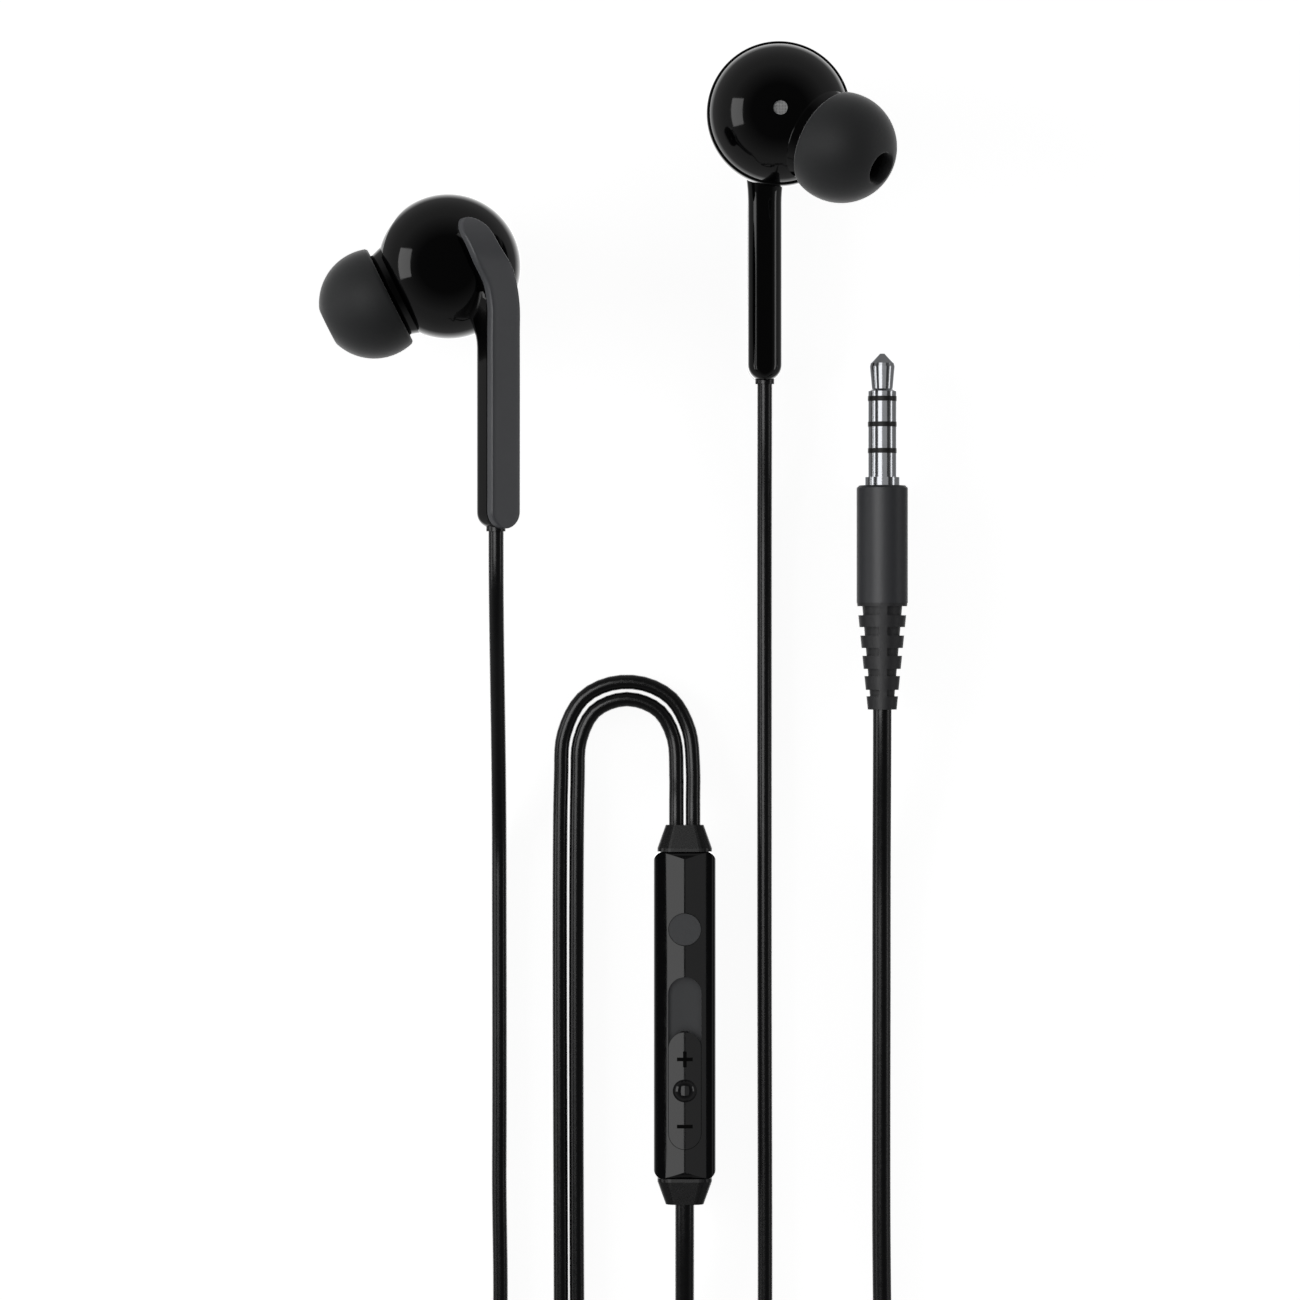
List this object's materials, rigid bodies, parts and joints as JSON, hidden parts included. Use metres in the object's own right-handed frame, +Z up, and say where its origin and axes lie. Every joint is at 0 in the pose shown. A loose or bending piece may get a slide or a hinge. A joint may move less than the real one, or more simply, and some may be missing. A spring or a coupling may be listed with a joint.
{
  "type": "wired earphones",
  "caption": "In-ear earphones on a lead with an inline remote and a 3.5 mm four-pole plug: ball-shaped pods on slim stems, domed silicone tips, volume slider and play button.",
  "frame": {"origin": "centre of the flat back of the inline remote, on the surface that everything lies on", "axes": "+Y along the remote towards the earpieces, +Z up out of the surface, +X to the right towards the plug"},
  "size_m": [0.072, 0.2254, 0.0222],
  "materials": {
    "gloss_abs_front": "high gloss moulded",
    "gloss_abs_rear": "high gloss moulded",
    "satin_trim": "satin moulded",
    "steel_mesh": "woven mesh",
    "plated_steel": "plated",
    "magnet": "nickel plated",
    "copper_winding": "enamelled wire",
    "film": "clear film",
    "circuit_board": "solder mask",
    "lead_rubber": "satin jacket",
    "silicone": "matte silicone",
    "collar_rubber": "satin",
    "matte_key": "fine matte",
    "slider_abs": "gloss",
    "switch_plastic": "moulded",
    "nickel": "bright nickel",
    "insulator": "moulded",
    "barrel_tpe": "satin",
    "relief_tpe": "matte",
    "tie_plastic": "satin"
  },
  "bodies": {
    "root": {"left_front_shell": "gloss_abs_front", "left_rear_shell": "gloss_abs_rear", "left_trim_plate": "satin_trim", "left_nozzle_mesh": "steel_mesh", "left_vent_mesh": "steel_mesh", "left_driver_frame": "plated_steel", "left_driver_yoke": "plated_steel", "left_driver_magnet": "magnet", "left_pole_plate": "plated_steel", "left_driver_board": "circuit_board", "left_lead_bush": "lead_rubber", "left_lead_knot": "lead_rubber", "right_front_shell": "gloss_abs_front", "right_rear_shell": "gloss_abs_rear", "right_trim_plate": "satin_trim", "right_nozzle_mesh": "steel_mesh", "right_vent_mesh": "steel_mesh", "right_driver_frame": "plated_steel", "right_driver_yoke": "plated_steel", "right_driver_magnet": "magnet", "right_pole_plate": "plated_steel", "right_driver_board": "circuit_board", "right_lead_bush": "lead_rubber", "right_lead_knot": "lead_rubber", "remote_back_shell": "gloss_abs_rear", "remote_front_shell": "gloss_abs_front", "remote_top_collar": "collar_rubber", "remote_bottom_collar": "collar_rubber", "slider_track": "matte_key", "circuit_board": "circuit_board", "play_switch": "plated_steel", "volume_potentiometer": "plated_steel", "microphone": "plated_steel", "plug_tip": "nickel", "plug_first_ring": "nickel", "plug_second_ring": "nickel", "plug_sleeve": "nickel", "plug_insulators": "insulator", "plug_barrel": "barrel_tpe", "plug_strain_relief": "relief_tpe", "left_lead": "lead_rubber", "right_lead": "lead_rubber", "main_lead_start": "lead_rubber", "main_coil": "lead_rubber", "main_lead_end": "lead_rubber", "coil_tie": "tie_plastic"},
    "left_ear_tip": {"left_ear_tip": "silicone"},
    "right_ear_tip": {"right_ear_tip": "silicone"},
    "left_diaphragm": {"left_diaphragm": "film", "left_voice_coil": "copper_winding"},
    "right_diaphragm": {"right_diaphragm": "film", "right_voice_coil": "copper_winding"},
    "play_button": {"play_button": "matte_key", "switch_plunger": "switch_plastic"},
    "volume_slider": {"volume_slider": "slider_abs", "slider_knob": "slider_abs", "potentiometer_lever": "switch_plastic"}
  },
  "joints": [
    {"name": "left_tip_pull", "type": "slide", "parent": "root", "child": "left_ear_tip", "axis": [-0.8949, -0.4462, 0], "range_m": [0, 0.007]},
    {"name": "left_driver_stroke", "type": "slide", "parent": "root", "child": "left_diaphragm", "axis": [-0.8949, -0.4462, 0], "range_m": [-0.00012, 0.00012], "stiffness_N_per_m": 60},
    {"name": "right_tip_pull", "type": "slide", "parent": "root", "child": "right_ear_tip", "axis": [0.7375, -0.4462, 0.5069], "range_m": [0, 0.007]},
    {"name": "right_driver_stroke", "type": "slide", "parent": "root", "child": "right_diaphragm", "axis": [0.7375, -0.4462, 0.5069], "range_m": [-0.00012, 0.00012], "stiffness_N_per_m": 60},
    {"name": "play_press", "type": "slide", "parent": "root", "child": "play_button", "axis": [0, 0, -1], "range_m": [0, 0.0003], "stiffness_N_per_m": 1500},
    {"name": "volume_slide", "type": "slide", "parent": "root", "child": "volume_slider", "axis": [0, 1, 0], "range_m": [0, 0.0066]}
  ]
}
